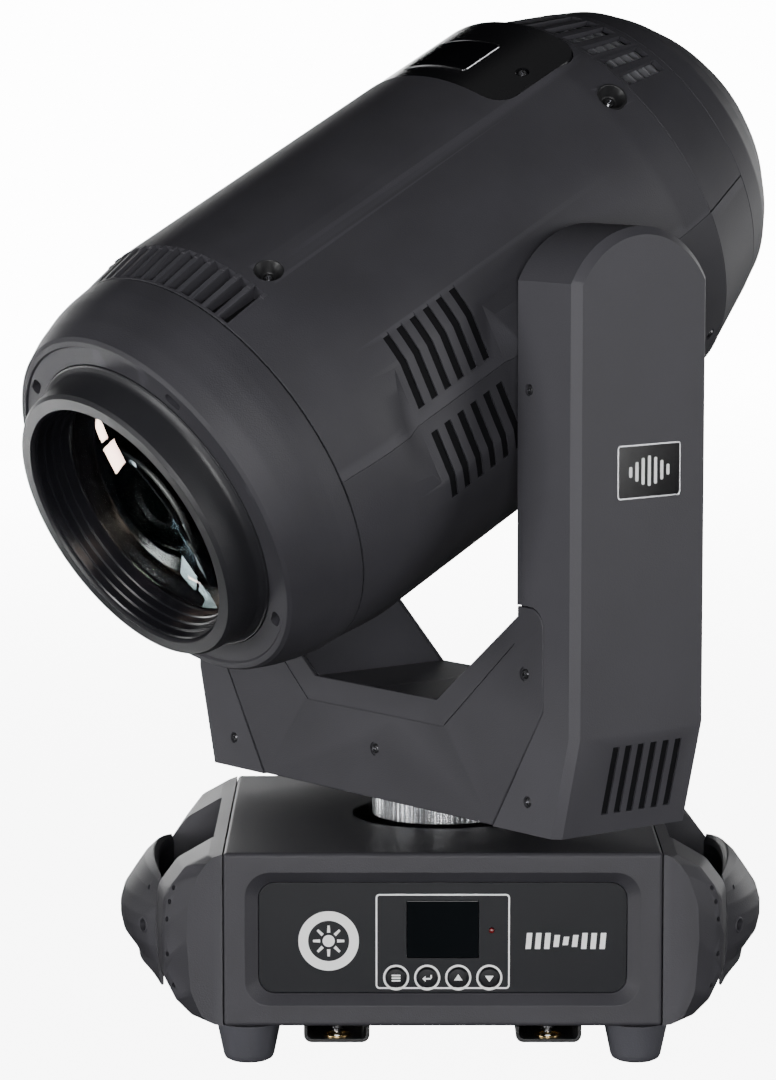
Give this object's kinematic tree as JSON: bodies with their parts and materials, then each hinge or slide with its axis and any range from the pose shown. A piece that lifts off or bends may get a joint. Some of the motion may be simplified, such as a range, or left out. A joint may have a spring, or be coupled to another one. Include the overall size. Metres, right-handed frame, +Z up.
{
  "type": "moving head light",
  "caption": "Moving head stage light: base with control panel and side handles, panning yoke with two arms, tilting optical head with zoom, focus, wheels and prism inside.",
  "frame": {"origin": "on the pan axis, at the underside of the base's bottom plate", "axes": "+Z up along the pan axis, -Y towards the control panel's side, +X to the right when facing the control panel"},
  "size_m": [0.4294, 0.3939, 0.5902],
  "materials": {
    "housing": "fine matte texture, charcoal",
    "gloss_black": "polished",
    "panel_black": "satin",
    "rubber": "matte",
    "black_metal": "satin black",
    "aluminium": "machined",
    "glass": "clear, coated",
    "led_red": "clear"
  },
  "bodies": {
    "base": {"base_shell": "housing", "base_bottom_plate": "black_metal", "control_panel": "panel_black", "display_screen": "gloss_black", "status_led": "led_red", "rear_panel": "black_metal", "power_inlet": "panel_black", "dmx_input": "black_metal", "dmx_output": "black_metal", "end_cap_left": "housing", "end_cap_right": "housing", "carry_handle_left": "housing", "carry_handle_right": "housing", "foot_front_left": "rubber", "foot_front_right": "rubber", "foot_rear_left": "rubber", "foot_rear_right": "rubber", "omega_rail_left": "black_metal", "omega_rail_right": "black_metal", "pan_shaft": "aluminium", "pan_pulley": "aluminium", "power_supply": "aluminium"},
    "button_menu": {"button_menu": "panel_black"},
    "button_enter": {"button_enter": "panel_black"},
    "button_up": {"button_up": "panel_black"},
    "button_down": {"button_down": "panel_black"},
    "yoke": {"yoke_beam": "black_metal", "beam_top_cover": "housing", "yoke_cover_front": "housing", "yoke_cover_rear": "housing", "arm_frame_left": "black_metal", "arm_frame_right": "black_metal", "arm_cover_left": "housing", "arm_cover_right": "housing", "pan_motor": "black_metal", "pan_belt": "rubber", "tilt_motor": "black_metal", "tilt_belt": "rubber"},
    "pan_motor_pulley": {"pan_motor_pulley": "aluminium"},
    "tilt_motor_pulley": {"tilt_motor_pulley": "aluminium"},
    "head": {"nose_ring": "black_metal", "front_lens": "glass", "front_ring": "housing", "shell_top": "housing", "shell_bottom": "housing", "rear_ring": "housing", "rear_cap": "housing", "service_hatch": "gloss_black", "head_chassis": "black_metal", "tilt_pulley": "aluminium", "led_engine": "aluminium", "heatsink": "aluminium", "fan_frame": "black_metal"},
    "zoom_carriage": {"zoom_carriage": "black_metal"},
    "focus_carriage": {"focus_carriage": "black_metal"},
    "colour_wheel": {"colour_wheel": "aluminium"},
    "gobo_wheel": {"gobo_wheel": "aluminium"},
    "prism_arm": {"prism_arm": "black_metal"},
    "prism": {"prism": "glass"},
    "fan_rotor": {"fan_rotor": "black_metal"}
  },
  "joints": [
    {"name": "pan", "type": "hinge", "parent": "base", "child": "yoke", "pos_m": [0, 0, 0.1], "axis": [0, 0, 1], "range_deg": [-218.6, 321.4]},
    {"name": "tilt", "type": "hinge", "parent": "yoke", "child": "head", "pos_m": [0, 0, 0.4017], "axis": [0.6239, -0.7815, 0], "range_deg": [-252.3, 17.7]},
    {"name": "pan_motor_spin", "type": "hinge", "parent": "yoke", "child": "pan_motor_pulley", "pos_m": [-0.05241, 0.06565, 0.1222], "axis": [0, 0, 1], "range_deg": [-1545, 1052]},
    {"name": "tilt_motor_spin", "type": "hinge", "parent": "yoke", "child": "tilt_motor_pulley", "pos_m": [0.08797, -0.11019, 0.262], "axis": [0.6239, -0.7815, 0], "range_deg": [-1213, 87]},
    {"name": "zoom_slide", "type": "slide", "parent": "head", "child": "zoom_carriage", "axis": [-0.6945, -0.5544, -0.4586], "range_m": [-0.026, 0.032]},
    {"name": "focus_slide", "type": "slide", "parent": "head", "child": "focus_carriage", "axis": [-0.6945, -0.5544, -0.4586], "range_m": [-0.02, 0.014]},
    {"name": "colour_wheel_spin", "type": "hinge", "parent": "head", "child": "colour_wheel", "pos_m": [0.02065, 0.01649, 0.36358], "axis": [-0.6945, -0.5544, -0.4586], "continuous": true},
    {"name": "gobo_wheel_spin", "type": "hinge", "parent": "head", "child": "gobo_wheel", "pos_m": [-0.02343, -0.01871, 0.43799], "axis": [-0.6945, -0.5544, -0.4586], "continuous": true},
    {"name": "prism_swing", "type": "hinge", "parent": "head", "child": "prism_arm", "pos_m": [-0.09146, 0.00632, 0.43661], "axis": [-0.6945, -0.5544, -0.4586], "range_deg": [-50, 0]},
    {"name": "prism_spin", "type": "hinge", "parent": "prism_arm", "child": "prism", "pos_m": [-0.03971, -0.06413, 0.4434], "axis": [-0.6945, -0.5544, -0.4586], "continuous": true},
    {"name": "fan_spin", "type": "hinge", "parent": "head", "child": "fan_rotor", "pos_m": [0.0948, 0.07567, 0.46431], "axis": [-0.6945, -0.5544, -0.4586], "continuous": true},
    {"name": "button_menu_press", "type": "slide", "parent": "base", "child": "button_menu", "axis": [0, 1, 0], "range_m": [0, 0.0008], "stiffness_N_per_m": 300},
    {"name": "button_enter_press", "type": "slide", "parent": "base", "child": "button_enter", "axis": [0, 1, 0], "range_m": [0, 0.0008], "stiffness_N_per_m": 300},
    {"name": "button_up_press", "type": "slide", "parent": "base", "child": "button_up", "axis": [0, 1, 0], "range_m": [0, 0.0008], "stiffness_N_per_m": 300},
    {"name": "button_down_press", "type": "slide", "parent": "base", "child": "button_down", "axis": [0, 1, 0], "range_m": [0, 0.0008], "stiffness_N_per_m": 300}
  ],
  "couplings": [
    {"joint": "pan_motor_spin", "follows": "pan", "ratio": -4.8},
    {"joint": "tilt_motor_spin", "follows": "tilt", "ratio": 4.8}
  ]
}
